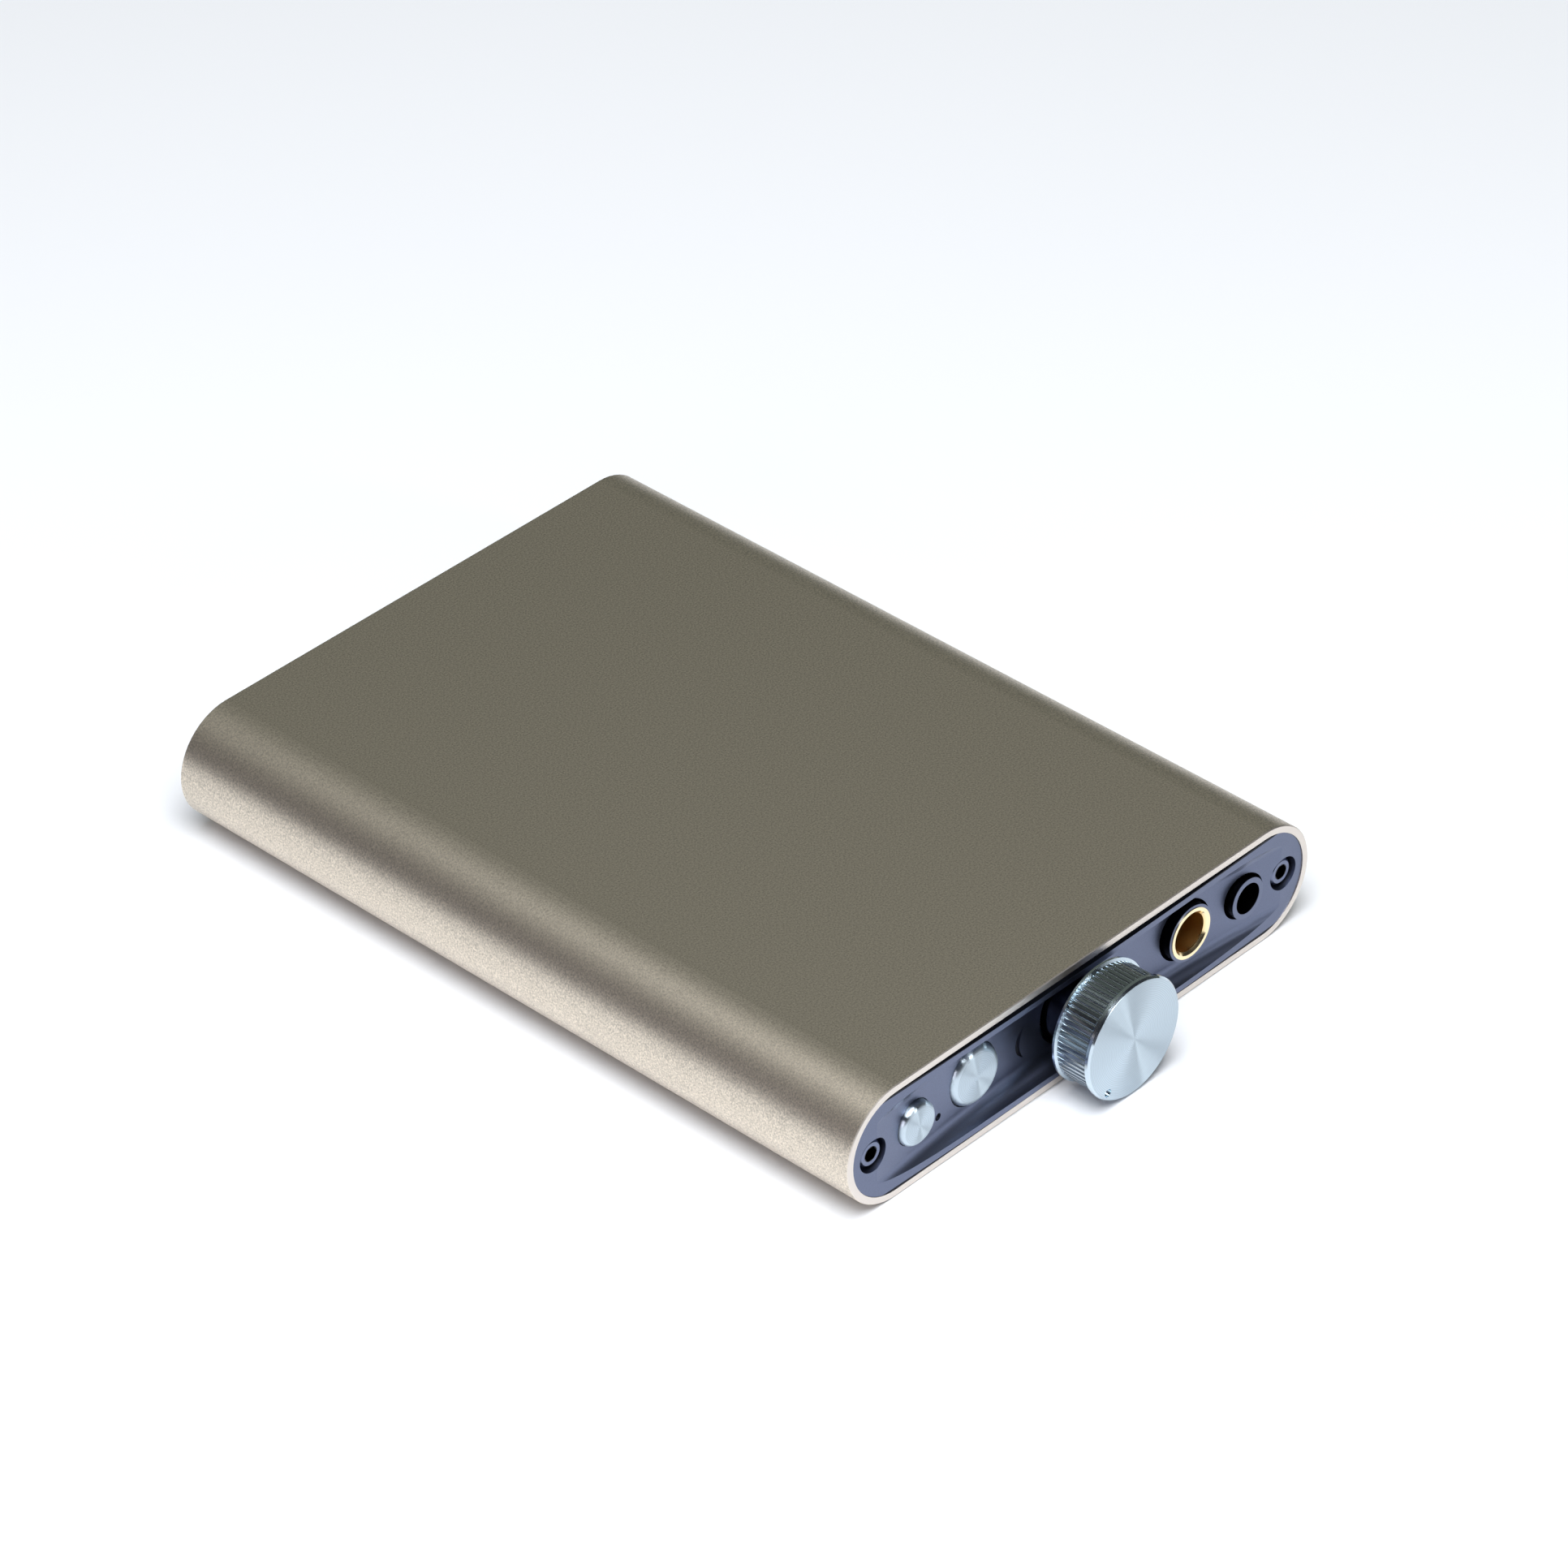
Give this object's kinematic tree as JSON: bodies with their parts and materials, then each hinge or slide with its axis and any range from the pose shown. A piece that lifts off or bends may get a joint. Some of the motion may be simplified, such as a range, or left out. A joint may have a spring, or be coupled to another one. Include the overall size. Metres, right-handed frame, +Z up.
{
  "type": "pocket headphone amplifier and dac",
  "caption": "Flask-shaped metal sleeve with a dished front panel: knurled volume knob, push buttons, headphone sockets and lights; USB sockets at the back.",
  "frame": {"origin": "on the surface it stands on, under the middle of the whole object's box, knob included", "axes": "+Z up, the front panel faces -Y, the push buttons are on the -X side and the headphone sockets on the +X side"},
  "size_m": [0.07, 0.1024, 0.014],
  "materials": {
    "case_metal": "bead-blasted, olive-grey anodised",
    "panel_metal": "fine satin, slate anodised",
    "screw_metal": "satin",
    "knob_metal": "turned and polished",
    "button_metal": "turned and polished",
    "shaft_metal": "turned",
    "control_case": "moulded",
    "contact_silver": "plated",
    "contact_gold": "gold plated, polished",
    "collar_metal": "fine satin, slate anodised",
    "socket_plastic": "moulded, fine satin",
    "switch_plastic": "moulded",
    "light_pipe": "smoked clear",
    "led_body": "moulded",
    "board": "solder resist",
    "chip": "moulded",
    "component_metal": "drawn can",
    "capacitor_film": "moulded",
    "battery_wrap": "foil pouch",
    "pad_foam": "closed-cell foam",
    "wire_red": "insulation",
    "wire_black": "insulation",
    "plug_plastic": "moulded"
  },
  "bodies": {
    "case": {"case_sleeve": "case_metal", "front_panel": "panel_metal", "rear_panel": "panel_metal", "front_screws": "screw_metal", "rear_screws": "screw_metal", "volume_bush": "shaft_metal", "volume_control_body": "control_case", "volume_control_pins": "contact_silver", "headphone_contacts": "contact_silver", "usb_data_shell": "contact_silver", "usb_charge_shell": "contact_silver", "balanced_socket_ring": "contact_gold", "balanced_contacts": "contact_gold", "headphone_socket_collar": "collar_metal", "balanced_socket_collar": "collar_metal", "headphone_socket": "socket_plastic", "balanced_socket": "socket_plastic", "usb_data_tongue": "socket_plastic", "usb_charge_tongue": "socket_plastic", "small_button_switch": "switch_plastic", "large_button_switch": "switch_plastic", "power_light_pipe": "light_pipe", "left_light_pipe": "light_pipe", "right_light_pipe": "light_pipe", "rear_light_pipe": "light_pipe", "front_leds": "led_body", "rear_led": "led_body", "main_board": "board", "dac_chip": "chip", "usb_chip": "chip", "amplifier_chips": "chip", "power_inductor": "chip", "clock_oscillators": "component_metal", "can_capacitors": "component_metal", "film_capacitors": "capacitor_film", "battery_pack": "battery_wrap", "battery_pad": "pad_foam", "battery_lead_red": "wire_red", "battery_lead_black": "wire_black", "battery_plug": "plug_plastic"},
    "volume_knob": {"volume_knob": "knob_metal", "volume_shaft": "shaft_metal"},
    "small_button": {"small_button": "button_metal", "small_button_plunger": "switch_plastic"},
    "large_button": {"large_button": "button_metal", "large_button_plunger": "switch_plastic"}
  },
  "joints": [
    {"name": "volume_turn", "type": "hinge", "parent": "case", "child": "volume_knob", "pos_m": [0, -0.0512, 0.007], "axis": [0, 1, 0], "range_deg": [0, 280]},
    {"name": "small_button_press", "type": "slide", "parent": "case", "child": "small_button", "axis": [0, 1, 0], "range_m": [0, 0.0004], "stiffness_N_per_m": 400},
    {"name": "large_button_press", "type": "slide", "parent": "case", "child": "large_button", "axis": [0, 1, 0], "range_m": [0, 0.0004], "stiffness_N_per_m": 400}
  ]
}
